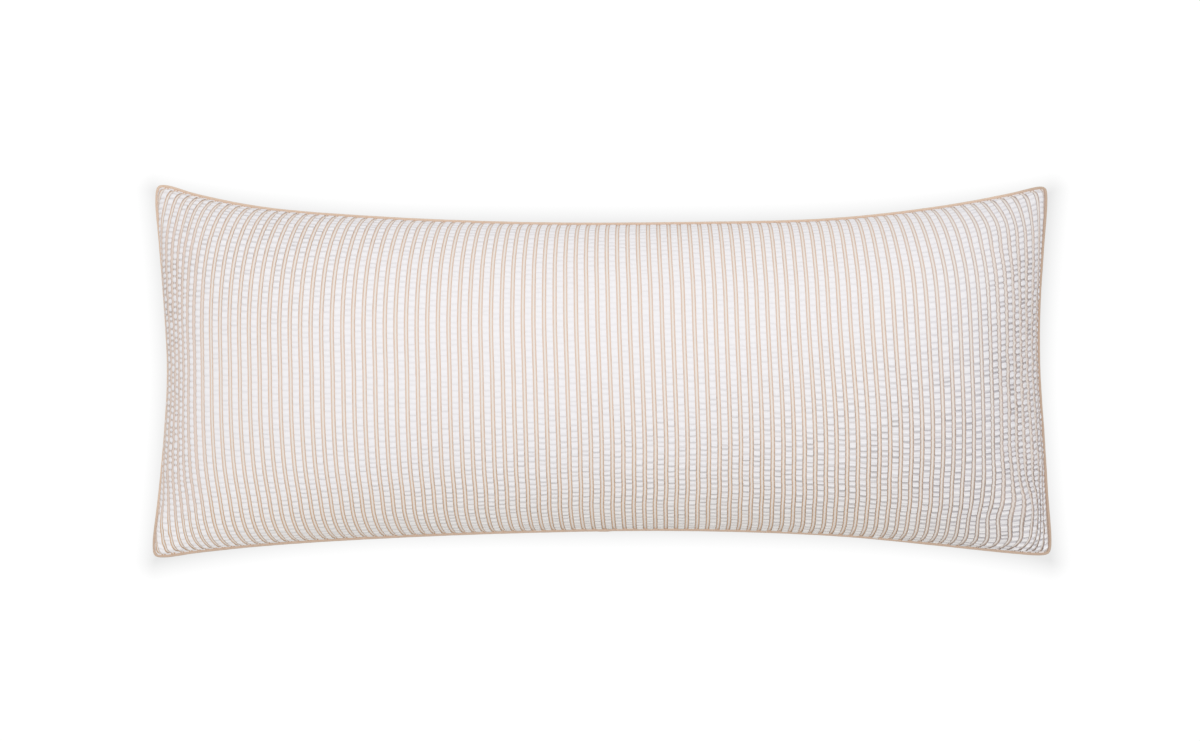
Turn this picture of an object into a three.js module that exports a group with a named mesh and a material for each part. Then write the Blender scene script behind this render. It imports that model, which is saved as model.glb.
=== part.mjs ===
// A long lumbar cushion in a seersucker cover, filled and lying on its back.
// Two cover panels meet at a seam that runs all round, with a thin tan piping sewn into it.
// Millimetres. X runs along the cushion, Y across it and Z up. The origin lies on the surface
// that the cushion rests on, under the middle of its outline.
import * as THREE from 'three';
import { mergeVertices } from 'three/addons/utils/BufferGeometryUtils.js';

// Heights of the filled cushion as it lies.
const SEAM_HEIGHT = 70;
const CORNER_DROP = 9;
const DROP_POWER = 4;
const FRONT_CROWN = 78;
const BACK_CROWN = 82;
const PRESSED_EDGE = 5;

// The piping is a thin cord in a folded strip. The panels meet in a thin lip just inside it.
const PIPING_RADIUS = 1.6;
const PIPING_GAP = 0.3;
const SEAM_LIP = 1.1;
const SEAM_INSET = 2 * PIPING_RADIUS + PIPING_GAP;

// Cells of the cushion's surface, finer towards the seam, and sides of the piping.
const COLUMNS = 74;
const ROWS = 30;
const EDGE_GRADING = 0.72;
const PIPING_SIDES = 8;
const STEPS_A_KNOT = 4;
const MERGE_DISTANCE = 0.001;

// The panels were cut as rectangles, and the filling draws their sides in. These are the corners
// of the piping's outer edge, clockwise from the back left, and how far from each the round starts.
const CORNERS = [
  { x: -436, y: 185, cut: 13 },
  { x: 434, y: 182, cut: 9 },
  { x: 438, y: -180, cut: 10 },
  { x: -439, y: -183, cut: 11 },
];

// The piping's outer edge along the two long sides: the place along the cushion, and how far
// across it the far and the near side lie there.
const LONG_SIDES = [
  { x: -395, far: 173, near: -177 },
  { x: -330, far: 160, near: -170 },
  { x: -225, far: 151, near: -163 },
  { x: -75, far: 145, near: -157 },
  { x: 75, far: 145, near: -155 },
  { x: 225, far: 149, near: -160 },
  { x: 330, far: 161, near: -170 },
  { x: 395, far: 173, near: -177 },
];

// The same edge along the two ends.
const ENDS = [
  { y: 120, left: -430, right: 429 },
  { y: 60, left: -425, right: 425 },
  { y: 0, left: -422, right: 425 },
  { y: -60, left: -425, right: 429 },
  { y: -120, left: -431, right: 433 },
];

// How the crown falls from the middle to each side. A high power keeps the middle broad and
// flat, and a low rounding makes the last stretch down to the seam steep.
const FALL = {
  left: { power: 4, rounding: 0.45 },
  right: { power: 8, rounding: 0.85 },
  near: { power: 2, rounding: 0.55 },
  far: { power: 3, rounding: 0.7 },
};

// The share of its depth that a crease keeps at its two ends, and the rise above the seam at which
// it has its full depth.
const CREASE_END = 0.35;
const CREASE_ROOM = 20;

// Main creases of the front: a soft trough from one point to the other, or a ridge where the
// depth is negative. The reach is the distance over which it fades to either side.
const FRONT_CREASES = [
  { from: [402, 112], to: [399, -64], depth: 3.0, reach: 13 },
  { from: [384, 96], to: [380, -40], depth: -1.6, reach: 11 },
  { from: [430, 174], to: [384, 122], depth: 4.0, reach: 12 },
  { from: [396, -76], to: [428, -140], depth: 5.0, reach: 12 },
  { from: [409, -70], to: [433, -112], depth: -3.0, reach: 9 },
  { from: [378, -128], to: [424, -126], depth: -3.0, reach: 10 },
  { from: [388, -148], to: [426, -152], depth: 3.6, reach: 9 },
  { from: [-409, 112], to: [-408, -70], depth: 2.6, reach: 9 },
  { from: [-396, 70], to: [-393, -96], depth: -1.4, reach: 9 },
  { from: [-430, 176], to: [-398, 134], depth: 3.0, reach: 11 },
  { from: [-421, -108], to: [-402, -166], depth: 3.4, reach: 10 },
];

// Creases of the back, which lies down and so keeps only those that run in from its corners.
const BACK_CREASES = [
  { from: [-430, 174], to: [-372, 120], depth: 4, reach: 13 },
  { from: [429, 172], to: [368, 116], depth: 4.5, reach: 14 },
  { from: [433, -172], to: [374, -122], depth: 4, reach: 13 },
  { from: [-433, -174], to: [-370, -126], depth: 4.5, reach: 14 },
];

const COVER_MATERIAL = new THREE.MeshStandardMaterial({
  color: 0xeee9e7,
  roughness: 0.9,
  metalness: 0,
});
const PIPING_MATERIAL = new THREE.MeshStandardMaterial({
  color: 0xddbd9f,
  roughness: 0.8,
  metalness: 0,
});

// Three points that round a corner: where the round starts, its middle and where it ends.
function roundedCorner(before, corner, after) {
  const tip = new THREE.Vector2(corner.x, corner.y);
  const [start, end] = [before, after].map((neighbour) => {
    const direction = neighbour.clone().sub(tip).normalize();
    return tip.clone().addScaledVector(direction, corner.cut);
  });
  return new THREE.QuadraticBezierCurve(start, tip, end).getPoints(2);
}

// The closed outer edge of the piping, clockwise from above, and the share of its length at
// which it passes the middle of each corner.
function makeOutline() {
  const sides = [
    LONG_SIDES.map((row) => new THREE.Vector2(row.x, row.far)),
    ENDS.map((row) => new THREE.Vector2(row.right, row.y)),
    LONG_SIDES.map((row) => new THREE.Vector2(row.x, row.near)).reverse(),
    ENDS.map((row) => new THREE.Vector2(row.left, row.y)).reverse(),
  ];
  const knots = [];
  const cornerKnots = [];
  CORNERS.forEach((corner, i) => {
    const before = sides[(i + 3) % 4].at(-1);
    const after = sides[i][0];
    cornerKnots.push(knots.length + 1);
    knots.push(...roundedCorner(before, corner, after), ...sides[i]);
  });
  const points = knots.map((knot) => new THREE.Vector3(knot.x, knot.y, 0));
  const curve = new THREE.CatmullRomCurve3(points, true, 'centripetal');

  const divisionsAKnot = 60;
  curve.arcLengthDivisions = points.length * divisionsAKnot;
  const lengths = curve.getLengths();
  const cornerShares = cornerKnots.map((knot) => lengths[knot * divisionsAKnot] / lengths.at(-1));
  return { curve, cornerShares, knotCount: points.length };
}

const outline = makeOutline();

// A point of the outline moved towards the inside of the cushion.
function insetPoint(point, tangent, inset) {
  return new THREE.Vector2(point.x + tangent.y * inset, point.y - tangent.x * inset);
}

// A point on the seam: share 0 is the middle of the corner where this side starts, and share 1
// the middle of the next corner.
function seamPoint(side, share) {
  const start = outline.cornerShares[side];
  const end = outline.cornerShares[(side + 1) % 4] + (side === 3 ? 1 : 0);
  const place = THREE.MathUtils.lerp(start, end, share) % 1;
  return insetPoint(outline.curve.getPointAt(place), outline.curve.getTangentAt(place), SEAM_INSET);
}

// Where a point of a panel lies, seen from above. Along runs from -1 at the left end to 1 at the
// right, and across from -1 at the near side to 1 at the far side: the four sides are blended.
function planPoint(along, across) {
  const u = (along + 1) / 2;
  const v = (across + 1) / 2;
  const far = seamPoint(0, u);
  const right = seamPoint(1, 1 - v);
  const near = seamPoint(2, 1 - u);
  const left = seamPoint(3, v);
  const corners = [
    { point: seamPoint(3, 0), weight: (1 - u) * (1 - v) },
    { point: seamPoint(2, 0), weight: u * (1 - v) },
    { point: seamPoint(0, 0), weight: (1 - u) * v },
    { point: seamPoint(1, 0), weight: u * v },
  ];
  const plan = near.multiplyScalar(1 - v).addScaledVector(far, v);
  plan.addScaledVector(left, 1 - u).addScaledVector(right, u);
  corners.forEach(({ point, weight }) => plan.addScaledVector(point, -weight));
  return plan;
}

// The seam lies level along the sides and sinks a little at the four light corners.
function seamHeight({ x, y }) {
  const corner = CORNERS[1];
  const cornered = Math.abs((x * y) / (corner.x * corner.y)) ** DROP_POWER;
  return SEAM_HEIGHT - CORNER_DROP * Math.min(1, cornered);
}

function fall({ power, rounding }, distance) {
  return Math.max(0, 1 - distance ** power) ** rounding;
}

// The share of the full crown at a point of a panel, from 0 on the seam to 1 in the middle.
function crownShare(along, across) {
  const lengthwise = fall(along < 0 ? FALL.left : FALL.right, Math.abs(along));
  const crosswise = fall(across < 0 ? FALL.near : FALL.far, Math.abs(across));
  return lengthwise * crosswise;
}

// How deep the creases are at a point of the plan. Each fades to its sides and to its ends.
function creaseDepth(creases, plan) {
  return creases.reduce((total, { from, to, depth, reach }) => {
    const start = new THREE.Vector2(...from);
    const run = new THREE.Vector2(...to).sub(start);
    const offset = plan.clone().sub(start);
    const place = THREE.MathUtils.clamp(offset.dot(run) / run.lengthSq(), 0, 1);
    const distance = offset.addScaledVector(run, -place).length();
    const across = Math.exp(-((distance / reach) ** 2));
    const along = THREE.MathUtils.lerp(CREASE_END, 1, Math.sin(Math.PI * place));
    return total + depth * across * along;
  }, 0);
}

// Creases die out towards the seam, where the panels are sewn together.
function creasedRise(rise, creases, plan) {
  const room = THREE.MathUtils.smoothstep(rise, 0, CREASE_ROOM);
  return rise - room * creaseDepth(creases, plan);
}

function frontHeight(along, across, plan) {
  const rise = FRONT_CROWN * crownShare(along, across);
  return seamHeight(plan) + SEAM_LIP + creasedRise(rise, FRONT_CREASES, plan);
}

// The back would reach below the surface, so it is pressed flat there, with a soft edge.
function backHeight(along, across, plan) {
  const rise = BACK_CROWN * crownShare(along, across);
  const free = seamHeight(plan) - SEAM_LIP - creasedRise(rise, BACK_CREASES, plan);
  if (free > PRESSED_EDGE) {
    return free;
  }
  return free < -PRESSED_EDGE ? 0 : (free + PRESSED_EDGE) ** 2 / (4 * PRESSED_EDGE);
}

// Cells get narrower towards the seam, where the surface curves most.
function graded(place) {
  return THREE.MathUtils.lerp(place, Math.sin((Math.PI / 2) * place), EDGE_GRADING);
}

// Both panels and the filling as one body: a box whose top and bottom become the two panels and
// whose thin sides become the seam lip.
function cushionGeometry() {
  const box = new THREE.BoxGeometry(2, 2, 2, COLUMNS, ROWS, 1);
  box.deleteAttribute('normal');
  box.deleteAttribute('uv');
  const geometry = mergeVertices(box);
  const position = geometry.attributes.position;
  for (let i = 0; i < position.count; i += 1) {
    const along = graded(position.getX(i));
    const across = graded(position.getY(i));
    const plan = planPoint(along, across);
    const height = position.getZ(i) > 0 ? frontHeight : backHeight;
    position.setXYZ(i, plan.x, plan.y, height(along, across, plan));
  }
  geometry.computeVertexNormals();
  return geometry;
}

// The middle line of the piping. It is followed knot by knot, so that its rings lie closest
// where the corners turn.
class PipingLine extends THREE.Curve {
  getPoint(t) {
    const middle = insetPoint(outline.curve.getPoint(t), outline.curve.getTangent(t), PIPING_RADIUS);
    return new THREE.Vector3(middle.x, middle.y, seamHeight(middle));
  }

  getPointAt(u) {
    return this.getPoint(u);
  }

  getTangentAt(u) {
    return this.getTangent(u);
  }
}

// A closed ring of cord. Its last ring of points falls on its first, and the two are merged.
function pipingGeometry() {
  const rings = outline.knotCount * STEPS_A_KNOT;
  const tube = new THREE.TubeGeometry(new PipingLine(), rings, PIPING_RADIUS, PIPING_SIDES, true);
  tube.deleteAttribute('normal');
  tube.deleteAttribute('uv');
  const geometry = mergeVertices(tube, MERGE_DISTANCE);
  geometry.computeVertexNormals();
  return geometry;
}

const cushion = new THREE.Mesh(cushionGeometry(), COVER_MATERIAL);
cushion.name = 'cushion';

const piping = new THREE.Mesh(pipingGeometry(), PIPING_MATERIAL);
piping.name = 'piping';

const group = new THREE.Group();
group.add(cushion, piping);

export default group;
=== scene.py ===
# A long lumbar cushion in a white seersucker cover with tan pinstripes and a piped seam,
# lying on its back and seen face on.
import math

import bmesh
import bpy
import numpy as np
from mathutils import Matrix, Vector
from mathutils.bvhtree import BVHTree


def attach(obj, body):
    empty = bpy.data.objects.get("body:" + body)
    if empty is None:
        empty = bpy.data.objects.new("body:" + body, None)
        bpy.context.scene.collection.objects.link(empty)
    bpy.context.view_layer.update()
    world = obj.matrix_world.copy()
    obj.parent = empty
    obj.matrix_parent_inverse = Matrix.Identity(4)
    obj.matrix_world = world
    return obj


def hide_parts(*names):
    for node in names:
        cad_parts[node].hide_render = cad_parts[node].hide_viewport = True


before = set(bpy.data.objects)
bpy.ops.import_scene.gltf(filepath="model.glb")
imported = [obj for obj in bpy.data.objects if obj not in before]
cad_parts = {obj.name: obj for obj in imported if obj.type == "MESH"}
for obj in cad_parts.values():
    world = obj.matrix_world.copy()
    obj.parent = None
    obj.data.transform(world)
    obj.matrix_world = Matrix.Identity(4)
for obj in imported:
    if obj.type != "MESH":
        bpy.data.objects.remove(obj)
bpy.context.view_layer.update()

# The filled cushion. Two equal rectangles of cloth are sewn together all round and stuffed, so
# the flat cloth takes on a crown and drawn-in sides. The frame's cushion gives the seam line and
# the heights, and a short simulation lets the filling press the cover out between its seams.
CUT_LENGTH = 0.914
CUT_WIDTH = 0.381
LIP_HEIGHT = 0.0022
MERGE_DISTANCE = 0.000001
LIP_TOLERANCE = 0.0001
EDGE_GRADING = 0.72
SAMPLES_ALONG = 200
SAMPLES_ACROSS = 96
CELLS_ALONG = 100
CELLS_ACROSS = 46
LAYING_ROUNDS = 6
FAR_AWAY = 1.0

solid = bmesh.new()
solid.from_mesh(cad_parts["cushion"].data)
bmesh.ops.remove_doubles(solid, verts=solid.verts, dist=MERGE_DISTANCE)
surface = BVHTree.FromBMesh(solid)


def seam_points():
    """The middles of the upright edges of the seam lip, in order round the cushion. Each row has
    a point and the x and y of the direction that leads out of the cushion there."""
    middles = []
    for edge in solid.edges:
        one, other = (vert.co for vert in edge.verts)
        rise = abs(one.z - other.z)
        if (one - other).xy.length < LIP_TOLERANCE and abs(rise - LIP_HEIGHT) < LIP_TOLERANCE:
            middles.append((one + other) / 2)
    middles = np.array(middles)
    across, along = (middles[:, axis] / np.ptp(middles[:, axis]) for axis in (1, 0))
    middles = middles[np.argsort(np.arctan2(across, along))]
    ahead = np.roll(middles, -1, axis=0) - np.roll(middles, 1, axis=0)
    outward = np.column_stack([ahead[:, 1], -ahead[:, 0]])
    return np.hstack([middles, outward / np.linalg.norm(outward, axis=1, keepdims=True)])


seam = seam_points()


def corner_place(end, side):
    """Where in the seam's points the corner at that end and side is."""
    reach = seam[:, :2] / np.ptp(seam[:, :2], axis=0)
    return int(np.argmax(reach @ (end, side)))


def seam_stretch(start, stop):
    """The seam's points from one corner to the next."""
    count = (stop - start) % len(seam) + 1
    return seam[(start + np.arange(count)) % len(seam)]


near_left, near_right = corner_place(-1, -1), corner_place(1, -1)
far_left, far_right = corner_place(-1, 1), corner_place(1, 1)
sides = {
    "near": seam_stretch(near_left, near_right),
    "right": seam_stretch(near_right, far_right),
    "far": seam_stretch(far_right, far_left)[::-1],
    "left": seam_stretch(far_left, near_left)[::-1],
}


def along_line(line, share):
    """A line's rows at those shares of its length."""
    steps = np.linalg.norm(np.diff(line[:, :3], axis=0), axis=1)
    length = np.concatenate([[0], np.cumsum(steps)])
    place = np.asarray(share) * length[-1]
    return np.stack([np.interp(place, length, part) for part in line.T], axis=-1)


def between_sides(u, v):
    """Points of the sheet spanned by the four sides: u from left to right, v from near to far."""
    near, far = along_line(sides["near"], u), along_line(sides["far"], u)
    left, right = along_line(sides["left"], v), along_line(sides["right"], v)
    u, v = u[..., None], v[..., None]
    corners = (1 - u) * ((1 - v) * sides["near"][0] + v * sides["far"][0])
    corners = corners + u * ((1 - v) * sides["near"][-1] + v * sides["far"][-1])
    sheet = (1 - v) * near + v * far + (1 - u) * left + u * right - corners
    return sheet[..., :3]


def graded(count):
    """Shares from 0 to 1, closer together towards both ends."""
    even = np.linspace(-1, 1, count + 1)
    return (1 + (1 - EDGE_GRADING) * even + EDGE_GRADING * np.sin(even * math.pi / 2)) / 2


def sampled_panel(up):
    """The front (up 1) or the back (up -1) of the solid, sampled where the sheet's points are."""
    u, v = np.meshgrid(graded(SAMPLES_ALONG), graded(SAMPLES_ACROSS))
    points = between_sides(u, v)
    for row in range(1, points.shape[0] - 1):
        for column in range(1, points.shape[1] - 1):
            x, y, _ = points[row, column]
            hit = surface.ray_cast(Vector((x, y, up * FAR_AWAY)), Vector((0, 0, -up)))[0]
            points[row, column, 2] = hit.z
    return points


def shares_of_length(points, axis):
    """How far along its row or column of cloth each sample lies, from 0 to 1."""
    steps = np.linalg.norm(np.diff(points, axis=axis), axis=2)
    start = np.zeros_like(np.take(steps, [0], axis=axis))
    length = np.concatenate([start, np.cumsum(steps, axis=axis)], axis=axis)
    return length / np.take(length, [-1], axis=axis)


def bilinear(values, row, column):
    """Values of a grid at fractional rows and columns."""
    low_row = np.clip(np.floor(row).astype(int), 0, values.shape[0] - 2)
    low_column = np.clip(np.floor(column).astype(int), 0, values.shape[1] - 2)
    down, right = (row - low_row)[..., None], (column - low_column)[..., None]
    top = values[low_row, low_column] * (1 - right) + values[low_row, low_column + 1] * right
    bottom = values[low_row + 1, low_column] * (1 - right)
    bottom = bottom + values[low_row + 1, low_column + 1] * right
    return top * (1 - down) + bottom * down


def cloth_grid(points, u, v):
    """Points of the cloth at shares u and v of its length and width. The cloth lies evenly over
    the crown, so the shares are measured over the surface and not in plan."""
    rows, columns = np.arange(points.shape[0]), np.arange(points.shape[1])
    length, width = shares_of_length(points, 1), shares_of_length(points, 0)
    column_at = np.array([np.interp(u[0], line, columns) for line in length])
    row_at = np.array([np.interp(v[:, 0], line, rows) for line in width.T])
    row, column = v * rows[-1], u * columns[-1]
    target_row, target_column = np.indices(u.shape)
    for _ in range(LAYING_ROUNDS):
        column = bilinear(column_at[..., None], row, target_column.astype(float))[..., 0]
        row = bilinear(row_at[..., None], column, target_row.astype(float))[..., 0]
    return bilinear(points, row, column)


SIM_FRAMES = 20
STEPS_A_FRAME = 6
POINT_MASS = 0.2
FILLING_PRESSURE = 2
LARGEST_MOVE = 0.005


def sewn_cover(grids):
    """Both panels as one closed mesh, sewn together along their edges, with each point's place in
    its panel kept in a layer."""
    cover = bmesh.new()
    place = cover.verts.layers.int.new("place")
    for up, grid in grids.items():
        rows, columns = grid.shape[0] - 1, grid.shape[1] - 1
        panel = bmesh.ops.create_grid(cover, x_segments=columns, y_segments=rows, size=1)
        for vert in panel["verts"]:
            column = round((vert.co.x + 1) / 2 * columns)
            row = round((vert.co.y + 1) / 2 * rows)
            vert[place] = up * (1 + row * (columns + 1) + column)
            vert.co = grid[row, column]
        if up < 0:
            faces = {face for vert in panel["verts"] for face in vert.link_faces}
            bmesh.ops.reverse_faces(cover, faces=list(faces))
    edge = [vert for vert in cover.verts if vert.is_boundary]
    bmesh.ops.remove_doubles(cover, verts=edge, dist=MERGE_DISTANCE)
    mesh = bpy.data.meshes.new("sewn_cover")
    cover.to_mesh(mesh)
    cover.free()
    return mesh


def pressed_by_filling(grids):
    """The panels after the filling has pressed them out, held along the seam and by the floor."""
    mesh = sewn_cover(grids)
    cover = bpy.data.objects.new("sewn_cover", mesh)
    bpy.context.scene.collection.objects.link(cover)
    places = np.empty(len(mesh.vertices), int)
    mesh.attributes["place"].data.foreach_get("value", places)

    rows, columns = grids[1].shape[:2]
    row, column = np.divmod(np.abs(places) - 1, columns)
    on_seam = (row == 0) | (row == rows - 1) | (column == 0) | (column == columns - 1)
    held = cover.vertex_groups.new(name="seam")
    held.add(np.flatnonzero(on_seam).tolist(), 1, "REPLACE")

    cloth = cover.modifiers.new("filling", "CLOTH")
    cloth.settings.quality = STEPS_A_FRAME
    cloth.settings.mass = POINT_MASS
    cloth.settings.use_pressure = True
    cloth.settings.uniform_pressure_force = FILLING_PRESSURE
    cloth.settings.effector_weights.gravity = 0
    cloth.settings.vertex_group_mass = held.name
    cloth.point_cache.frame_end = SIM_FRAMES
    for step in range(1, SIM_FRAMES + 1):
        bpy.context.scene.frame_set(step)
    simulated = cover.evaluated_get(bpy.context.evaluated_depsgraph_get()).to_mesh()
    points = np.empty(len(places) * 3)
    simulated.vertices.foreach_get("co", points)
    bpy.context.scene.frame_set(1)
    bpy.data.objects.remove(cover)

    pressed = {}
    for up, grid in grids.items():
        flat = grid.reshape(-1, 3).copy()
        mine = (np.sign(places) == up) & ~on_seam
        move = points.reshape(-1, 3)[mine] - flat[np.abs(places[mine]) - 1]
        length = np.linalg.norm(move, axis=1, keepdims=True)
        move *= np.minimum(1, LARGEST_MOVE / np.maximum(length, MERGE_DISTANCE))
        flat[np.abs(places[mine]) - 1] += move
        flat[:, 2] = np.maximum(flat[:, 2], 0)
        pressed[up] = flat.reshape(grid.shape)
    return pressed


cells_u, cells_v = np.meshgrid(graded(CELLS_ALONG), graded(CELLS_ACROSS))
resting = {up: cloth_grid(sampled_panel(up), cells_u, cells_v) for up in (1, -1)}
panels = pressed_by_filling(resting)

# The seersucker. White cotton is woven with a flat band that carries two thin tan lines, then a
# slack band that crinkles into small puckers, and so on along the cushion. The stripes run across
# it. One set of nodes works out stripes and puckers, for the mesh and for the material alike.
STRIPE_REPEATS = 92
REPEAT = CUT_LENGTH / STRIPE_REPEATS
FIRST_STRIPE = 6.8

# This makes the random unevenness of neighbouring bands unlike.
BAND_SHIFT = 41.37

# The pair of tan lines. Places and widths are shares of a repeat, from the middle of the flat band.
LINE_PLACE = 0.14
LINE_HALF_WIDTH = 0.062
LINE_SOFTNESS = 0.018
LINE_WANDER = 0.014
LINE_STRENGTH = 0.8
LINE_IN_CRINKLES = 0.2
# The next two are painted shade: the tan lines are painted stronger by the seams and along the near
# side.
LINE_SHADE_AT_SEAM = 0.4
LINE_SHADE_AT_NEAR_SIDE = 0.5
LINE_UNEVENNESS = 0.6

# The puckers of a slack band. A pair of values is where something starts and where it is full.
SLACK_BAND = (0.36, 0.28)
VALLEY_BAND = (0.37, 0.31)
CLEAR_OF_SEAM = (0.001, 0.007)
CLEAR_OF_END = (0.0, 0.006)
PUCKER_LENGTH = 0.0059
PUCKER_HEIGHT = 0.0012
PUCKER_UNEVENNESS = 0.75
PUFF_STEEPNESS = 2.2
PUFF_ROUNDNESS = 2.2
PUFF_LEAST = 0.6
PUFF_SPREAD = 0.6
SLANT = 0.5
SLANT_LENGTH = 0.02
TILT = 0.35
TILTED_END = (0.80 * CUT_LENGTH, 0.96 * CUT_LENGTH)
STREAKS_A_PUCKER = 1.6
STREAK_SHIFT = 11.1
STREAK_UNEVENNESS = 0.9
STREAK_HEIGHT = 0.4
# The next four numbers and VALLEY_BAND place the painted shade in the valleys between puckers and
# set how dark it is.
STREAK_WIDTH = 0.12
STREAK_SHADE = 0.7
VALLEY_WIDTH = 0.34
VALLEY_SHADE_STRENGTH = 0.44
PULL = 0.02
PULL_AT_END = 0.34

# The cloth is gathered along its seams and at its two ends, where its pairs of lines merge.
GATHERED_END = 0.100
GATHER_FROM_SEAM = (0.03, 0.13)
END_CRINKLE = 0.45
END_SWAY = 0.45
SWAY_ALONG = 0.03
SWAY_ACROSS = 0.016
MERGED_LEFT = 0.096
MERGED_RIGHT = 0.080
MERGE_FADE = 0.010
MERGED_SHARE = 0.75
MERGED_SHARE_RIGHT = 0.4
MERGED_WHERE_GATHERED = (0.0, 0.12)
SEAM_GATHER = 0.010
GATHER_HEIGHT = 0.0007

# The tones of the yarns, and of the painted shade in the valleys between puckers. Those named for
# a side or a corner are painted light and shade, each with the stretch over which it comes in.
WHITE_YARN = (0.882, 0.866, 0.890, 1)
CREAM_YARN = (0.83, 0.785, 0.75, 1)
TAN_YARN = (0.715, 0.522, 0.402, 1)
MERGED_YARN = (0.765, 0.63, 0.56, 1)
NEAR_SHADED_WHITE = (0.872, 0.846, 0.824, 1)
NEAR_STRIP = (0.3 * CUT_WIDTH, 0.0)
CORNER_LIT_WHITE = (0.96, 0.94, 0.955, 1)
OUT_OF_LEFT_CORNER = (0.0, 0.25 * CUT_LENGTH)
INTO_RIGHT_CORNER = (0.85 * CUT_LENGTH, CUT_LENGTH)
NEAR_SHADED_TAN = (0.70, 0.485, 0.33, 1)
NEAR_HALF = (0.55 * CUT_WIDTH, 0.0)
RIGHT_SHADED_TAN = (0.63, 0.515, 0.46, 1)
RIGHT_END = (0.75 * CUT_LENGTH, 0.96 * CUT_LENGTH)
NEAR_RIGHT_SHADED_TAN = (0.54, 0.43, 0.37, 1)
NEAR_AT_RIGHT = (0.45 * CUT_WIDTH, 0.15 * CUT_WIDTH)
VALLEY_SHADE = (0.60, 0.54, 0.52, 1)
LEFT_SHADE = (0.60, 0.485, 0.425, 1)
LEFT_VALLEYS = (GATHERED_END, GATHERED_END / 2)
RIGHT_SHADE = (0.46, 0.42, 0.47, 1)
RIGHT_VALLEYS = (CUT_LENGTH - 2 * GATHERED_END, CUT_LENGTH - GATHERED_END)
TONE_UNEVENNESS = 0.08

# The plain weave of both cloths: the pitch and the relief of its threads, and its thicker threads.
THREAD_PITCH = 0.00042
THREAD_RELIEF = 0.00003
SLUB_WIDTH = 0.0007
SLUB_LENGTH = 0.012
SLUB_DETAIL = 3.0


class Wire:
    """A socket of a node tree that can be reckoned with as a number."""

    def __init__(self, tree, socket):
        self.tree, self.socket = tree, socket

    def worked(self, operation, *others):
        """The result of a Math node that starts from this socket."""
        values = dict(enumerate((self, *others)))
        return Wire(self.tree, add_node(self.tree, "ShaderNodeMath", values,
                                        operation=operation).outputs[0])

    def __add__(self, other):
        return self.worked("ADD", other)

    def __sub__(self, other):
        return self.worked("SUBTRACT", other)

    def __mul__(self, other):
        return self.worked("MULTIPLY", other)

    def __truediv__(self, other):
        return self.worked("DIVIDE", other)

    def __pow__(self, other):
        return self.worked("POWER", other)

    def __neg__(self):
        return self.worked("MULTIPLY", -1)

    def __abs__(self):
        return self.worked("ABSOLUTE")

    def step(self, start, stop):
        """0 before start, 1 after stop, and a smooth rise between them."""
        values = {"Value": self, "From Min": start, "From Max": stop}
        return Wire(self.tree, add_node(self.tree, "ShaderNodeMapRange", values,
                                        interpolation_type="SMOOTHSTEP").outputs["Result"])


def add_node(tree, kind, values, **settings):
    """A new node with those settings, its sockets fed from wires or set to plain values."""
    node = tree.nodes.new(kind)
    for name, value in settings.items():
        setattr(node, name, value)
    for name, value in values.items():
        if isinstance(value, Wire):
            tree.links.new(value.socket, node.inputs[name])
        else:
            node.inputs[name].default_value = value
    return node


def parted(tree, place):
    """The three parts of a vector."""
    return [Wire(tree, part) for part in
            add_node(tree, "ShaderNodeSeparateXYZ", {0: place}).outputs]


def joined(tree, x, y, z=0.0):
    """A vector of three parts."""
    return Wire(tree, add_node(tree, "ShaderNodeCombineXYZ", {0: x, 1: y, 2: z}).outputs[0])


def noise(tree, vector, scale, detail=2.0):
    """Smooth noise between about -0.5 and 0.5."""
    values = {"Vector": vector, "Scale": scale, "Detail": detail}
    return Wire(tree, add_node(tree, "ShaderNodeTexNoise", values).outputs[0]) - 0.5


def cracks(tree, along, unevenness):
    """The distance along a line to the nearest of a row of uneven cracks, 1 apart on average, and
    a random number for the stretch between two of them."""
    values = {"W": along, "Scale": 1.0, "Randomness": unevenness}
    edge = add_node(tree, "ShaderNodeTexVoronoi", values, voronoi_dimensions="1D",
                    feature="DISTANCE_TO_EDGE")
    middle = add_node(tree, "ShaderNodeTexVoronoi", values, voronoi_dimensions="1D", feature="F1")
    number = add_node(tree, "ShaderNodeTexWhiteNoise", {"W": Wire(tree, middle.outputs["W"])},
                      noise_dimensions="1D")
    return Wire(tree, edge.outputs["Distance"]), Wire(tree, number.outputs["Value"])


def from_edges(place, size):
    """How far a place on the flat cloth is from the nearer of its two edges, one at 0 and the other
    at that size."""
    return place.worked("MINIMUM", -place + size)


def stripes(tree, place):
    """Where among the stripes a place is: its x and y, the number of its repeat, how far into it,
    how far from its slack band's middle, and how fully the cloth is gathered there."""
    x, y, _ = parted(tree, place)
    gathered = from_edges(x, CUT_LENGTH).step(GATHERED_END, GATHERED_END / 5)
    gathered = gathered * from_edges(y, CUT_WIDTH).step(*GATHER_FROM_SEAM)
    sway = noise(tree, joined(tree, x / SWAY_ALONG, y / SWAY_ACROSS), 1.0) * gathered * END_SWAY
    repeats = x / REPEAT - FIRST_STRIPE + sway
    band = repeats.worked("FLOOR")
    wander = noise(tree, joined(tree, band * BAND_SHIFT, y / PUCKER_LENGTH), 1.0) * LINE_WANDER
    into = repeats - band + wander
    return x, y, band, into, abs(into - 0.5), gathered


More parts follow.
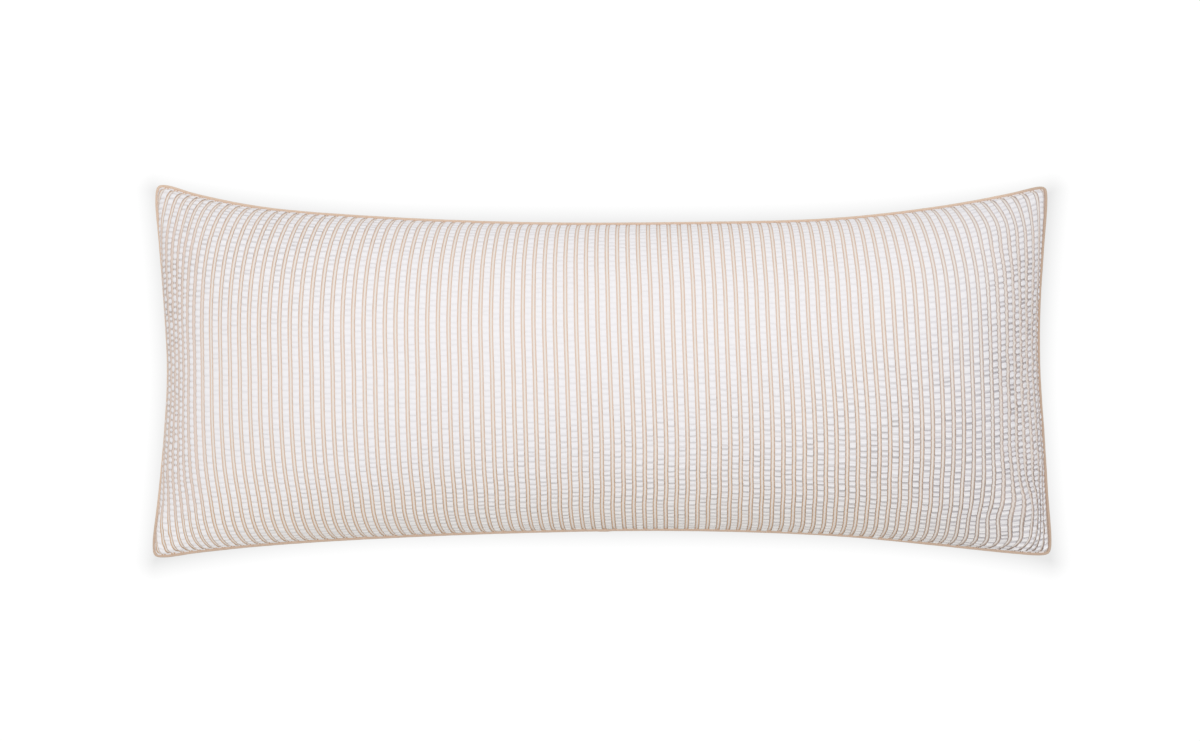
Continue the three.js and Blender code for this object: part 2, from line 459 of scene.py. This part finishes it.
def puckers(tree, place, crinkle):
    """The height of the puckers over the flat cloth, how deep a place is in a valley, which sets
    the painted shade there, and how far its stripe is pulled aside there."""
    x, y, band, into, off_middle, gathered = stripes(tree, place)
    slack = off_middle.step(*SLACK_BAND)
    from_seam, from_end = from_edges(y, CUT_WIDTH), from_edges(x, CUT_LENGTH)
    inside = from_seam.step(*CLEAR_OF_SEAM) * from_end.step(*CLEAR_OF_END)
    strength = (crinkle + gathered * END_CRINKLE).worked("MINIMUM", 1.0) * inside
    gather = slack * inside * from_seam.step(SEAM_GATHER * 2, SEAM_GATHER / 2)

    tilt = x.step(*TILTED_END) * (y / CUT_WIDTH) * TILT
    slant = noise(tree, joined(tree, band * BAND_SHIFT, y / SLANT_LENGTH), 1.0) * SLANT + tilt
    along = y / PUCKER_LENGTH - slant * (into - 0.5) * (REPEAT / PUCKER_LENGTH)
    along = along + band * BAND_SHIFT
    distance, number = cracks(tree, along, PUCKER_UNEVENNESS)
    puff = (distance * PUFF_STEEPNESS).worked("MINIMUM", 1.0)
    puff = -((-puff + 1.0) ** PUFF_ROUNDNESS) + 1.0
    streak_distance, _ = cracks(tree, along * STREAKS_A_PUCKER + STREAK_SHIFT, STREAK_UNEVENNESS)
    streak = (streak_distance * PUFF_STEEPNESS).worked("MINIMUM", 1.0)

    height = puff * (number * PUFF_SPREAD + PUFF_LEAST) + streak * crinkle * STREAK_HEIGHT
    height = slack * strength * height * PUCKER_HEIGHT + gather * GATHER_HEIGHT
    valley = off_middle.step(*VALLEY_BAND) * strength * distance.step(VALLEY_WIDTH, 0.0)
    streak_valley = slack * strength * streak_distance.step(STREAK_WIDTH, 0.0)
    streak_valley = streak_valley * crinkle * STREAK_SHADE
    pull = (-puff + 1.0) * (crinkle * PULL + gathered * PULL_AT_END)
    return height, valley.worked("MAXIMUM", streak_valley), pull


def mixed(tree, share, one, other):
    """One colour where the share is 0, the other where it is 1."""
    values = {0: share, 6: one, 7: other}
    return Wire(tree, add_node(tree, "ShaderNodeMix", values, data_type="RGBA").outputs["Result"])


def shader_group(name, inputs, outputs):
    """A new group of shader nodes with those sockets: its tree, its inputs and its output node."""
    tree = bpy.data.node_groups.new(name, "ShaderNodeTree")
    for socket, kind in inputs.items():
        tree.interface.new_socket(socket, in_out="INPUT", socket_type=f"NodeSocket{kind}")
    for socket, kind in outputs.items():
        tree.interface.new_socket(socket, in_out="OUTPUT", socket_type=f"NodeSocket{kind}")
    entry = tree.nodes.new("NodeGroupInput")
    wires = [Wire(tree, entry.outputs[socket]) for socket in inputs]
    return tree, wires, tree.nodes.new("NodeGroupOutput")


def group_result(tree, result, wires):
    """Ends a node group with those outputs."""
    for socket, wire in wires.items():
        tree.links.new(wire.socket, result.inputs[socket])
    return tree


def weave_group():
    """Nodes for plain woven cotton: the height of its threads and their uneven tone."""
    tree, (place, pitch), result = shader_group(
        "plain_weave", {"Place": "Vector", "Pitch": "Float"}, {"Height": "Float", "Tone": "Float"})
    x, y, _ = parted(tree, place)
    over = (x / pitch * math.pi).worked("SINE") * (y / pitch * math.pi).worked("SINE")
    slubs = noise(tree, joined(tree, x / SLUB_WIDTH, y / SLUB_LENGTH), 1.0, SLUB_DETAIL)
    picks = noise(tree, joined(tree, x / SLUB_LENGTH, y / SLUB_WIDTH), 1.0, SLUB_DETAIL)
    return group_result(tree, result, {"Height": over * THREAD_RELIEF, "Tone": slubs + picks})


def seersucker_group():
    """Nodes for the seersucker: its colour, with painted light and shade, and the height of its
    surface.
    """
    tree, (place, crinkle, tone), result = shader_group(
        "seersucker", {"Place": "Vector", "Crinkle": "Float", "Tone": "Float"},
        {"Color": "Color", "Height": "Float"})
    x, y, _, _, off_middle, gathered = stripes(tree, place)
    height, valley, pull = puckers(tree, place, crinkle)

    # Painted light and shade: along the near side the white is darker and warmer, and lighter again
    # towards the near corners.
    near = y.step(*NEAR_STRIP)
    side_white = mixed(tree, x.step(*OUT_OF_LEFT_CORNER), CORNER_LIT_WHITE, NEAR_SHADED_WHITE)
    side_white = mixed(tree, x.step(*INTO_RIGHT_CORNER), side_white, CORNER_LIT_WHITE)
    from_pair = -off_middle + 0.5 - pull
    gap = from_pair.step(LINE_PLACE, LINE_PLACE - LINE_HALF_WIDTH)
    ground = mixed(tree, gap, mixed(tree, near, WHITE_YARN, side_white), CREAM_YARN)

    line = abs(from_pair - LINE_PLACE).step(LINE_HALF_WIDTH + LINE_SOFTNESS,
                                            LINE_HALF_WIDTH - LINE_SOFTNESS)
    # Painted shade: the tan lines are stronger by the seams and along the near side.
    at_seam = from_edges(y, CUT_WIDTH).step(SEAM_GATHER, 0.0)
    strength = crinkle * LINE_IN_CRINKLES + at_seam * LINE_SHADE_AT_SEAM + near * LINE_SHADE_AT_NEAR_SIDE
    strength = tone * LINE_UNEVENNESS + (strength + LINE_STRENGTH)
    # Painted shade: the tan is deeper towards the near side, and greyer and darker at the right
    # end.
    tan = mixed(tree, y.step(*NEAR_HALF), TAN_YARN, NEAR_SHADED_TAN)
    right_tan = mixed(tree, y.step(*NEAR_AT_RIGHT), RIGHT_SHADED_TAN, NEAR_RIGHT_SHADED_TAN)
    tan = mixed(tree, x.step(*RIGHT_END), tan, right_tan)
    yarns = mixed(tree, line * strength, ground, tan)

    pair = from_pair.step(LINE_PLACE + LINE_HALF_WIDTH + LINE_SOFTNESS,
                          LINE_PLACE + LINE_HALF_WIDTH - LINE_SOFTNESS)
    merged_left = x.step(MERGED_LEFT, MERGED_LEFT - MERGE_FADE)
    merged_right = x.step(CUT_LENGTH - MERGED_RIGHT, CUT_LENGTH - MERGED_RIGHT + MERGE_FADE)
    merged = merged_left + merged_right * MERGED_SHARE_RIGHT
    merged = merged * gathered.step(*MERGED_WHERE_GATHERED)
    yarns = mixed(tree, pair * merged * MERGED_SHARE, yarns, MERGED_YARN)

    # Painted shade in the valleys between puckers, with its tone changed towards each end.
    shade = mixed(tree, x.step(*RIGHT_VALLEYS), VALLEY_SHADE, RIGHT_SHADE)
    shade = mixed(tree, x.step(*LEFT_VALLEYS), shade, LEFT_SHADE)
    shaded = mixed(tree, valley * VALLEY_SHADE_STRENGTH, yarns, shade)
    tinted = add_node(tree, "ShaderNodeHueSaturation",
                      {"Color": shaded, "Value": tone * TONE_UNEVENNESS + 1.0})
    return group_result(tree, result, {"Color": Wire(tree, tinted.outputs[0]), "Height": height})


def new_material(name):
    """An empty material and its Principled shader."""
    material = bpy.data.materials.new(name)
    material.use_nodes = True
    return material, material.node_tree, material.node_tree.nodes["Principled BSDF"]


def placed_group(tree, group, values):
    """A node group placed in a material."""
    return add_node(tree, "ShaderNodeGroup", values, node_tree=group)


weave = weave_group()


def seersucker_material():
    """Matt woven cotton with the stripes and puckers, read from the place on the flat cloth."""
    material, tree, shader = new_material("seersucker")
    place = Wire(tree, add_node(tree, "ShaderNodeUVMap", {}, uv_map=FLAT_PLACE).outputs["UV"])
    crinkle = add_node(tree, "ShaderNodeAttribute", {}, attribute_name=CRINKLE)
    threads = placed_group(tree, weave, {"Place": place, "Pitch": THREAD_PITCH})
    cloth = placed_group(tree, seersucker_group(),
                         {"Place": place, "Crinkle": Wire(tree, crinkle.outputs["Fac"]),
                          "Tone": Wire(tree, threads.outputs["Tone"])})
    relief = Wire(tree, cloth.outputs["Height"]) + Wire(tree, threads.outputs["Height"])
    bump = add_node(tree, "ShaderNodeBump", {"Height": relief, "Distance": 1.0, "Strength": 1.0})
    tree.links.new(cloth.outputs["Color"], shader.inputs["Base Color"])
    tree.links.new(bump.outputs["Normal"], shader.inputs["Normal"])
    shader.inputs["Roughness"].default_value = 0.92
    shader.inputs["Specular IOR Level"].default_value = 0.2
    return material


# The cover's front and back. Each is one rectangle of seersucker, gathered a little by its puckers.
# Its edges are sewn to the piping, so they end inside it.
FLAT_PLACE, CRINKLE = "UVMap", "crinkle"
COLUMNS_A_REPEAT = 4
FINER_REPEATS = 6
ROWS_ACROSS = 238
PIPING_OFFSET = 0.0019
INDEX_SAMPLES = 4000
TO_PIPING = np.vstack([np.eye(3), PIPING_OFFSET * np.eye(3)[:2]])

# Soft patches. A patch has its middle at a share of the cloth's length and width from the near left
# corner, fades over its own length and width to either side, and adds its own amount. The first
# table says how far the front's cloth crept to the right while it was stuffed, in metres. The end
# seams hold it. The second says how strongly both panels crinkle, beyond an even crinkle all over.
HELD_LEFT, FREE_LEFT = 0.02, 0.095
FREE_RIGHT = 0.05
EVEN_CRINKLE = 0.18
CREEP = {
    "whole middle": {"along": 0.35, "across": 0.5, "length": 0.55, "width": 0.8, "adds": -0.0125},
    "left end": {"along": 0.1, "across": 0.5, "length": 0.14, "width": 0.35, "adds": -0.005},
    "right bulge": {"along": 0.77, "across": 0.68, "length": 0.09, "width": 0.25, "adds": -0.006},
    "near side": {"along": 0.8, "across": 0.0, "length": 0.25, "width": 0.22, "adds": 0.011},
    "far right": {"along": 0.9, "across": 1.0, "length": 0.1, "width": 0.25, "adds": -0.005},
    "far middle": {"along": 0.52, "across": 1.0, "length": 0.1, "width": 0.25, "adds": -0.003},
    "near middle": {"along": 0.55, "across": 0.3, "length": 0.12, "width": 0.15, "adds": 0.0015},
    "corner fold": {"along": 0.965, "across": 0.14, "length": 0.035, "width": 0.09, "adds": 0.015},
    "corner bulge": {"along": 0.92, "across": 0.24, "length": 0.03, "width": 0.05, "adds": 0.0025},
    "corner tuck": {"along": 0.93, "across": 0.14, "length": 0.03, "width": 0.035, "adds": -0.003},
    "corner kink": {"along": 0.94, "across": 0.06, "length": 0.04, "width": 0.03, "adds": 0.004},
    "far kink": {"along": 0.95, "across": 0.88, "length": 0.05, "width": 0.05, "adds": 0.003},
}
# The crinkle also sets how dark the painted shade in the valleys is, as well as how high the
# puckers are.
CRINKLES = {
    "right seam": {"along": 1.0, "across": 0.52, "length": 0.08, "width": 0.46, "adds": 0.65},
    "right end": {"along": 0.98, "across": 0.2, "length": 0.27, "width": 0.42, "adds": 0.85},
    "near side": {"along": 0.55, "across": 0.05, "length": 0.5, "width": 0.33, "adds": 0.6},
    "upper left": {"along": 0.12, "across": 0.85, "length": 0.2, "width": 0.3, "adds": 0.4},
    "far side": {"along": 0.45, "across": 1.0, "length": 0.5, "width": 0.2, "adds": 0.25},
}


def catmull_rom(part):
    """The weights of four points in a row for a smooth curve through the middle two."""
    return [
        ((2 - part) * part - 1) * part / 2,
        ((3 * part - 5) * part * part + 2) / 2,
        ((4 - 3 * part) * part + 1) * part / 2,
        (part - 1) * part * part / 2,
    ]


def smooth_points(grid, row, column):
    """Points of a grid at fractional rows and columns, on a smooth surface through it."""
    padded = np.pad(grid, ((1, 1), (1, 1), (0, 0)), mode="reflect", reflect_type="odd")
    low_row = np.clip(np.floor(row).astype(int), 0, grid.shape[0] - 2)
    low_column = np.clip(np.floor(column).astype(int), 0, grid.shape[1] - 2)
    down, right = catmull_rom(row - low_row), catmull_rom(column - low_column)
    total = 0
    for step_down, share_down in enumerate(down):
        for step_right, share_right in enumerate(right):
            share = (share_down * share_right)[..., None]
            total = total + share * padded[low_row + step_down, low_column + step_right]
    return total


def grid_place(share, count):
    """The fractional index, in a graded row of cells, of a share of its length."""
    return np.interp(share, graded(INDEX_SAMPLES), np.linspace(0, count, INDEX_SAMPLES + 1))


def from_patches(table, u, v):
    """What a table's soft patches add up to at shares u and v of the cloth's length and width."""
    total = np.zeros_like(u)
    for patch in table.values():
        along = (u - patch["along"]) / patch["length"]
        across = (v - patch["across"]) / patch["width"]
        total += patch["adds"] * np.exp(-along ** 2 - across ** 2)
    return total


def smooth_rise(value, start, stop):
    """0 before start, 1 after stop, and a smooth rise between them."""
    share = np.clip((value - start) / (stop - start), 0, 1)
    return share * share * (3 - 2 * share)


def column_shares():
    """Where the columns of the mesh are: on the middle and the edges of each stripe pair, and twice
    as close at the two ends."""
    step = 1 / COLUMNS_A_REPEAT
    repeats = np.arange(math.ceil(-FIRST_STRIPE / step) * step, STRIPE_REPEATS - FIRST_STRIPE, step)
    from_left = repeats + FIRST_STRIPE
    near_end = np.minimum(from_left, STRIPE_REPEATS - from_left) < FINER_REPEATS
    between = repeats[near_end] + step / 2
    shares = (np.concatenate([repeats, between]) + FIRST_STRIPE) / STRIPE_REPEATS
    return np.concatenate([[0], np.sort(shares[(shares > 0) & (shares < 1)]), [1]])


def fine_panel(up):
    """The panel's points, their places on the flat cloth and how strongly they crinkle. The
    outermost points lie in the middle of the piping."""
    u, v = np.meshgrid(column_shares(), np.linspace(0, 1, ROWS_ACROSS + 1))
    free = smooth_rise(u, HELD_LEFT, FREE_LEFT) * smooth_rise(1 - u, 0, FREE_RIGHT)
    over = u + free * from_patches(CREEP, u, v) / CUT_LENGTH if up > 0 else u
    points = smooth_points(panels[up], grid_place(v, CELLS_ACROSS), grid_place(over, CELLS_ALONG))
    for name, edge, share in (("near", np.s_[0, :], over[0]), ("far", np.s_[-1, :], over[-1]),
                              ("left", np.s_[:, 0], v[:, 0]), ("right", np.s_[:, -1], v[:, 0])):
        points[edge] = along_line(sides[name], share) @ TO_PIPING
    crinkle = np.clip(EVEN_CRINKLE + from_patches(CRINKLES, u, v), 0, 1)
    return points, np.stack([u * CUT_LENGTH, v * CUT_WIDTH], axis=-1), crinkle


def cloth_mesh(name, points, places, crinkle):
    """A sheet's mesh with those points, with their places on the flat cloth as its UV map and the
    strength of its crinkles as an attribute."""
    rows, columns = points.shape[0] - 1, points.shape[1] - 1
    sheet = bmesh.new()
    sheet.loops.layers.uv.new(FLAT_PLACE)
    bmesh.ops.create_grid(sheet, x_segments=columns, y_segments=rows, size=1, calc_uvs=True)
    mesh = bpy.data.meshes.new(name)
    sheet.to_mesh(mesh)
    sheet.free()
    flat = np.empty(len(mesh.vertices) * 3)
    mesh.vertices.foreach_get("co", flat)
    column = np.rint((flat[0::3] + 1) / 2 * columns).astype(int)
    row = np.rint((flat[1::3] + 1) / 2 * rows).astype(int)
    mesh.vertices.foreach_set("co", points[row, column].ravel())
    corner = np.empty(len(mesh.loops), int)
    mesh.loops.foreach_get("vertex_index", corner)
    mesh.uv_layers[FLAT_PLACE].data.foreach_set("uv", places[row, column][corner].ravel())
    mesh.attributes.new(CRINKLE, "FLOAT", "POINT").data.foreach_set("value", crinkle[row, column])
    mesh.shade_smooth()
    return mesh


def turned_over(mesh):
    """Turns a mesh's faces the other way."""
    sheet = bmesh.new()
    sheet.from_mesh(mesh)
    bmesh.ops.reverse_faces(sheet, faces=sheet.faces)
    sheet.to_mesh(mesh)
    sheet.free()


def pucker_nodes():
    """Geometry nodes that raise cloth by its puckers."""
    tree = bpy.data.node_groups.new("puckers", "GeometryNodeTree")
    for side in ("INPUT", "OUTPUT"):
        tree.interface.new_socket("Geometry", in_out=side, socket_type="NodeSocketGeometry")
    entry, result = tree.nodes.new("NodeGroupInput"), tree.nodes.new("NodeGroupOutput")
    place = add_node(tree, "GeometryNodeInputNamedAttribute", {"Name": FLAT_PLACE},
                     data_type="FLOAT_VECTOR")
    crinkle = add_node(tree, "GeometryNodeInputNamedAttribute", {"Name": CRINKLE},
                       data_type="FLOAT")
    height, *_ = puckers(tree, Wire(tree, place.outputs["Attribute"]),
                         Wire(tree, crinkle.outputs["Attribute"]))
    normal = Wire(tree, tree.nodes.new("GeometryNodeInputNormal").outputs[0])
    offset = add_node(tree, "ShaderNodeVectorMath", {0: normal, "Scale": height}, operation="SCALE")
    moved = add_node(tree, "GeometryNodeSetPosition", {"Geometry": Wire(tree, entry.outputs[0]),
                                                       "Offset": Wire(tree, offset.outputs[0])})
    tree.links.new(moved.outputs[0], result.inputs[0])
    return tree


def finished(piece):
    """Puts the result of a piece's modifiers in its mesh, kept above the floor."""
    evaluated = piece.evaluated_get(bpy.context.evaluated_depsgraph_get())
    mesh = bpy.data.meshes.new_from_object(evaluated)
    piece.modifiers.clear()
    piece.data = mesh
    points = np.empty(len(mesh.vertices) * 3)
    mesh.vertices.foreach_get("co", points)
    points[2::3] = np.maximum(points[2::3], 0)
    mesh.vertices.foreach_set("co", points)


seersucker = seersucker_material()
pucker_tree = pucker_nodes()
for panel_name, up in (("cover_front", 1), ("cover_back", -1)):
    mesh = cloth_mesh(panel_name, *fine_panel(up))
    if up < 0:
        turned_over(mesh)
    mesh.materials.append(seersucker)
    panel = bpy.data.objects.new(panel_name, mesh)
    bpy.context.scene.collection.objects.link(panel)
    panel.modifiers.new("puckers", "NODES").node_group = pucker_tree
    finished(panel)
    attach(panel, "root")
    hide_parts("cushion")

# The piping. A bias-cut strip of tan cotton is folded round a thin cord and sewn into the seam all
# round. Its two ends are lapped over each other in the middle of the near long side. It is darker
# on the right and near sides, where the photograph's light falls away.
PIPING_RADIUS = 0.0014
PIPING_RINGS = 1120
PIPING_SIDES = 14
PIPING_YARN = (0.77, 0.60, 0.48, 1)
PIPING_SHADE = (0.66, 0.49, 0.365, 1)
PIPING_PAINTED_SHADE = (0.50, 0.375, 0.29, 1)
LAP_PLACE = 0.002
LAP_HALF_LENGTH = 0.007
LAP_RISE = 0.00035
LAP_STEEPNESS = 4
CORD_STEPS = 8
CORD_WANDER = 0.00006
WANDER_WAVES = (61, 173)
SHADE_SHARE = 0.35
THREADS_RAISED = 1.5
SLUB_RELIEF = 0.00006

# How far the painted shade is mixed in, and where along and across the cushion it starts and is
# full.
PAINTED_SHADE_RIGHT = 0.65
PAINTED_SHADE_RIGHT_FROM = (0.38, 0.43)
PAINTED_SHADE_NEAR = 0.45
PAINTED_SHADE_NEAR_FROM = (-0.12, -0.16)


def cord_line():
    """The cord's middle line, as a closed smooth curve with even steps."""
    curve = bpy.data.curves.new("cord_line", "CURVE")
    curve.dimensions = "3D"
    curve.resolution_u = CORD_STEPS
    spline = curve.splines.new("NURBS")
    spline.points.add(len(seam) - 1)
    middle = seam @ TO_PIPING
    spline.points.foreach_set("co", np.column_stack([middle, np.ones(len(middle))]).ravel())
    spline.use_cyclic_u = True
    spline.order_u = 4
    line = bpy.data.objects.new("cord_line", curve)
    mesh = bpy.data.meshes.new_from_object(line)
    points = np.empty(len(mesh.vertices) * 3)
    mesh.vertices.foreach_get("co", points)
    bpy.data.objects.remove(line)
    points = points.reshape(-1, 3)
    return along_line(np.vstack([points, points[:1]]), np.arange(PIPING_RINGS) / PIPING_RINGS)


def piping_mesh():
    """The strip folded round the cord, one ring of points for each step along it."""
    line = cord_line()
    ahead = np.roll(line, -1, axis=0) - np.roll(line, 1, axis=0)
    ahead /= np.linalg.norm(ahead, axis=1, keepdims=True)
    outward = np.cross(ahead, (0, 0, 1))
    outward /= np.linalg.norm(outward, axis=1, keepdims=True)
    above = np.cross(outward, ahead)
    length = np.linalg.norm(np.diff(line, axis=0), axis=1).mean() * PIPING_RINGS
    ring = np.append(np.arange(PIPING_RINGS), 0)
    along = np.arange(PIPING_RINGS + 1) / PIPING_RINGS * length
    turn = np.linspace(0, 2 * math.pi, PIPING_SIDES + 1)
    near_side = line[ring, 1] < 0
    from_lap = np.where(near_side, np.abs(line[ring, 0] - LAP_PLACE), FAR_AWAY)
    lap = np.clip(1 - (from_lap / LAP_HALF_LENGTH) ** LAP_STEEPNESS, 0, 1) * LAP_RISE
    wander = sum(np.sin(along / length * 2 * math.pi * waves) for waves in WANDER_WAVES)
    radius = PIPING_RADIUS + lap + CORD_WANDER * wander / len(WANDER_WAVES)
    across, rise = np.cos(turn)[:, None], np.sin(turn)[:, None]
    ring_points = line[ring][None] + radius[None, :, None] * (
        across[..., None] * outward[ring][None] + rise[..., None] * above[ring][None])
    places = np.stack(np.broadcast_arrays(along[None], (turn * PIPING_RADIUS)[:, None]), axis=-1)
    mesh = cloth_mesh("piping_cord", ring_points, places, np.zeros(ring_points.shape[:2]))
    strip = bmesh.new()
    strip.from_mesh(mesh)
    bmesh.ops.remove_doubles(strip, verts=strip.verts, dist=MERGE_DISTANCE)
    bmesh.ops.recalc_face_normals(strip, faces=strip.faces)
    strip.to_mesh(mesh)
    strip.free()
    return mesh


def piping_material():
    """Matt tan cotton cut on the bias, so its threads run slantwise round the cord."""
    material, tree, shader = new_material("piping")
    place = add_node(tree, "ShaderNodeUVMap", {}, uv_map=FLAT_PLACE)
    turned = add_node(tree, "ShaderNodeMapping", {"Vector": Wire(tree, place.outputs["UV"]),
                                                  "Rotation": (0, 0, math.radians(45))})
    threads = placed_group(tree, weave, {"Place": Wire(tree, turned.outputs[0]),
                                         "Pitch": THREAD_PITCH})
    tone = Wire(tree, threads.outputs["Tone"])
    colour = mixed(tree, (tone + SHADE_SHARE).step(0, 1), PIPING_YARN, PIPING_SHADE)
    # Painted shade on the right and near sides.
    x, y, _ = parted(tree, Wire(tree, add_node(tree, "ShaderNodeTexCoord", {}).outputs["Object"]))
    painted_shade = x.step(*PAINTED_SHADE_RIGHT_FROM) * PAINTED_SHADE_RIGHT
    painted_shade = painted_shade.worked("MAXIMUM", y.step(*PAINTED_SHADE_NEAR_FROM) * PAINTED_SHADE_NEAR)
    colour = mixed(tree, painted_shade, colour, PIPING_PAINTED_SHADE)
    relief = Wire(tree, threads.outputs["Height"]) * THREADS_RAISED + tone * SLUB_RELIEF
    bump = add_node(tree, "ShaderNodeBump", {"Height": relief, "Distance": 1.0})
    tree.links.new(colour.socket, shader.inputs["Base Color"])
    tree.links.new(bump.outputs["Normal"], shader.inputs["Normal"])
    shader.inputs["Roughness"].default_value = 0.88
    shader.inputs["Specular IOR Level"].default_value = 0.25
    return material


piping_strip = piping_mesh()
piping_strip.materials.append(piping_material())
piping = bpy.data.objects.new("piping_cord", piping_strip)
bpy.context.scene.collection.objects.link(piping)
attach(piping, "root")
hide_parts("piping")

# The room. A white floor with the cushion's soft shade on it, partly drawn, even light from all
# round, and one large soft lamp beyond the far long side. The camera looks straight down.
CAMERA_PLACE = (-0.0021, 0.0008, 1.97)
CAMERA_LENS = 58.8
FLOOR_SIZE = 40.0
FLOOR_SHADE_REACH = 0.03
FLOOR_SHADE_WIDTH = 0.036
FLOOR_SHADE_DEPTH = 0.46
SEEN_LARGER = 1.036
SIDE_BOW, END_BOW = 3, 1.5
FLOOR_GLOW = 1.05
FLOOR_SHADE = (0.5, 0.5, 0.5, 1)
ROOM_LIGHT = 0.72
ROOM_TINT = (1.0, 0.996, 0.986, 1)
LAMP_PLACE = (-0.05, 0.55, 2.4)
LAMP_SIZE = 1.0
LAMP_POWER = 18.7


def round_shade_group():
    """Nodes for the soft shade on the floor round the cushion: 1 where the floor is open. The
    outline is taken as a bowed rectangle, as large on the floor as the raised seam looks."""
    tree, (place,), result = shader_group("round_shade", {"Place": "Vector"}, {"Open": "Float"})
    x, y, _ = parted(tree, place)
    x, y = x / SEEN_LARGER, y / SEEN_LARGER
    far, near = sides["far"][:, 1].min(), sides["near"][:, 1].max()
    left, right = sides["left"][:, 0].max(), sides["right"][:, 0].min()
    corner_x, corner_y = np.ptp(seam[:, 0]) / 2, np.ptp(seam[:, 1]) / 2
    side_bow = (abs(x) / corner_x).worked("MINIMUM", 1.0) ** SIDE_BOW
    side_bow = side_bow * (corner_y - (far - near) / 2)
    end_bow = (abs(y) / corner_y).worked("MINIMUM", 1.0) ** END_BOW
    end_bow = end_bow * (corner_x - (right - left) / 2)
    beyond_side = abs(y - (far + near) / 2) - side_bow - (far - near) / 2
    beyond_end = abs(x - (left + right) / 2) - end_bow - (right - left) / 2
    beyond = beyond_side.worked("MAXIMUM", 0.0) ** 2 + beyond_end.worked("MAXIMUM", 0.0) ** 2
    closeness = -(beyond ** 0.5 / FLOOR_SHADE_WIDTH).worked("MINIMUM", 1.0) + 1.0
    return group_result(tree, result, {"Open": -(closeness ** 2) * FLOOR_SHADE_DEPTH + 1.0})


floor_shape = bmesh.new()
bmesh.ops.create_grid(floor_shape, x_segments=1, y_segments=1, size=FLOOR_SIZE / 2)
floor_mesh = bpy.data.meshes.new("floor")
floor_shape.to_mesh(floor_mesh)
floor_shape.free()
floor_material, floor_tree, floor_shader = new_material("floor_white")
floor_shader.inputs["Base Color"].default_value = (0, 0, 0, 1)
floor_shader.inputs["Roughness"].default_value = 1
floor_shader.inputs["Specular IOR Level"].default_value = 0
floor_shader.inputs["Emission Strength"].default_value = FLOOR_GLOW
open_sky = add_node(floor_tree, "ShaderNodeAmbientOcclusion", {"Distance": FLOOR_SHADE_REACH})
floor_place = Wire(floor_tree, floor_tree.nodes.new("ShaderNodeTexCoord").outputs["Object"])
round_shade = placed_group(floor_tree, round_shade_group(), {"Place": floor_place})
open_sky = Wire(floor_tree, open_sky.outputs["AO"]) * Wire(floor_tree, round_shade.outputs["Open"])
floor_tone = mixed(floor_tree, open_sky, FLOOR_SHADE, (1, 1, 1, 1))
floor_tree.links.new(floor_tone.socket, floor_shader.inputs["Emission Color"])
floor_mesh.materials.append(floor_material)
floor = bpy.data.objects.new("floor", floor_mesh)
bpy.context.scene.collection.objects.link(floor)
floor.visible_diffuse = False

world = bpy.data.worlds.new("even_light")
world.use_nodes = True
world.node_tree.nodes["Background"].inputs["Color"].default_value = ROOM_TINT
world.node_tree.nodes["Background"].inputs["Strength"].default_value = ROOM_LIGHT
bpy.context.scene.world = world

lamp_light = bpy.data.lights.new("soft_lamp", "AREA")
lamp_light.size = LAMP_SIZE
lamp_light.energy = LAMP_POWER
lamp_light.use_shadow = False
lamp = bpy.data.objects.new("soft_lamp", lamp_light)
lamp.location = LAMP_PLACE
lamp.rotation_euler = (-Vector(LAMP_PLACE)).to_track_quat("-Z", "Y").to_euler()
bpy.context.scene.collection.objects.link(lamp)

camera_lens = bpy.data.cameras.new("camera")
camera_lens.sensor_fit = "HORIZONTAL"
camera_lens.lens = CAMERA_LENS
camera = bpy.data.objects.new("camera", camera_lens)
camera.location = CAMERA_PLACE
bpy.context.scene.collection.objects.link(camera)
bpy.context.scene.camera = camera
bpy.context.scene.view_settings.view_transform = "Standard"
